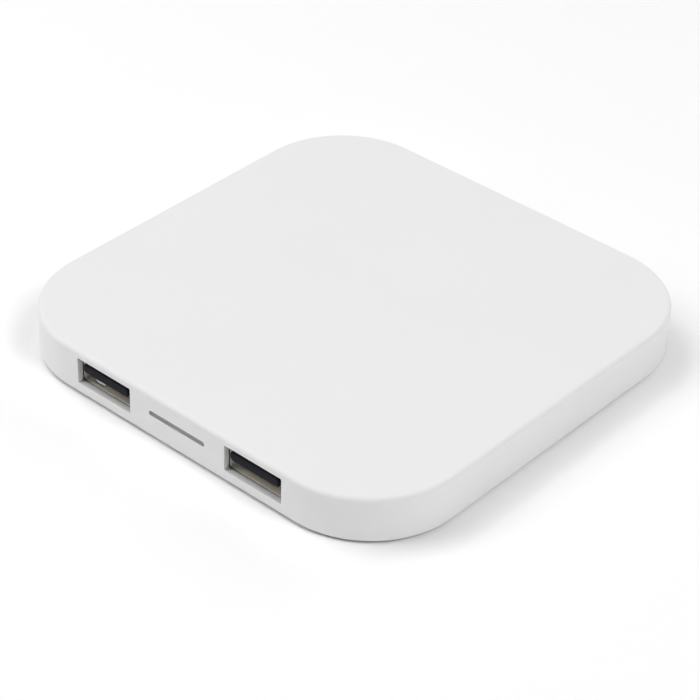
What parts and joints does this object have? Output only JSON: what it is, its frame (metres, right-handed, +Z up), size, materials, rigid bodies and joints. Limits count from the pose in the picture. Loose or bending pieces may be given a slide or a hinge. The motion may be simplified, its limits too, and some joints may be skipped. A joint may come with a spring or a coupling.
{
  "type": "wireless charging pad",
  "caption": "Flat square wireless charging pad with rounded corners, USB-A outlets and a status light slit in its front edge, and a power inlet at the back.",
  "frame": {"origin": "on the table, under the middle of the pad", "axes": "+Z up out of the charging face, -Y out of the edge that holds the USB-A outlets and the status light, +Y out of the edge with the power inlet"},
  "size_m": [0.09, 0.09, 0.0094],
  "materials": {
    "shell_plastic": "fine matt moulded ABS, white",
    "cover_plastic": "lightly textured ABS, white",
    "foot_rubber": "soft grey silicone rubber",
    "screw_steel": "zinc-plated steel",
    "light_plastic": "translucent grey polycarbonate",
    "led_package": "white LED package with a clear window",
    "board_green": "green solder mask on glass-fibre board",
    "port_steel": "bright stamped stainless steel",
    "port_plastic": "black moulded insulator",
    "contact_gold": "gold-plated contact",
    "coil_copper": "enamelled stranded copper wire",
    "ferrite": "sintered ferrite, dark grey",
    "adhesive_film": "double-sided adhesive film",
    "chip_epoxy": "black moulded chip body",
    "chip_ceramic": "tan ceramic capacitor body",
    "choke_ferrite": "grey ferrite choke",
    "crystal_can": "bright metal can"
  },
  "bodies": {
    "root": {"top_shell": "shell_plastic", "base_cover": "cover_plastic", "foot_front_left": "foot_rubber", "screw_front_left": "screw_steel", "foot_front_right": "foot_rubber", "screw_front_right": "screw_steel", "foot_back_left": "foot_rubber", "screw_back_left": "screw_steel", "foot_back_right": "foot_rubber", "screw_back_right": "screw_steel", "light_guide": "light_plastic", "status_led_left": "led_package", "status_led_right": "led_package", "main_board": "board_green", "usb_a_shell_left": "port_steel", "usb_a_insulator_left": "port_plastic", "usb_a_contact_left_1": "contact_gold", "usb_a_contact_left_2": "contact_gold", "usb_a_contact_left_3": "contact_gold", "usb_a_contact_left_4": "contact_gold", "usb_a_shell_right": "port_steel", "usb_a_insulator_right": "port_plastic", "usb_a_contact_right_1": "contact_gold", "usb_a_contact_right_2": "contact_gold", "usb_a_contact_right_3": "contact_gold", "usb_a_contact_right_4": "contact_gold", "micro_usb_shell": "port_steel", "micro_usb_insulator": "port_plastic", "micro_usb_contact_1": "contact_gold", "micro_usb_contact_2": "contact_gold", "micro_usb_contact_3": "contact_gold", "micro_usb_contact_4": "contact_gold", "micro_usb_contact_5": "contact_gold", "charging_coil": "coil_copper", "ferrite_sheet": "ferrite", "coil_adhesive": "adhesive_film", "port_controller": "chip_epoxy", "crystal": "crystal_can", "wireless_controller": "chip_epoxy", "bridge_chip_1": "chip_epoxy", "bridge_chip_2": "chip_epoxy", "resonant_capacitor_1": "chip_ceramic", "resonant_capacitor_2": "chip_ceramic", "resonant_capacitor_3": "chip_ceramic", "resonant_capacitor_4": "chip_ceramic", "choke": "choke_ferrite", "input_capacitor_1": "chip_ceramic", "input_capacitor_2": "chip_ceramic"}
  },
  "joints": []
}
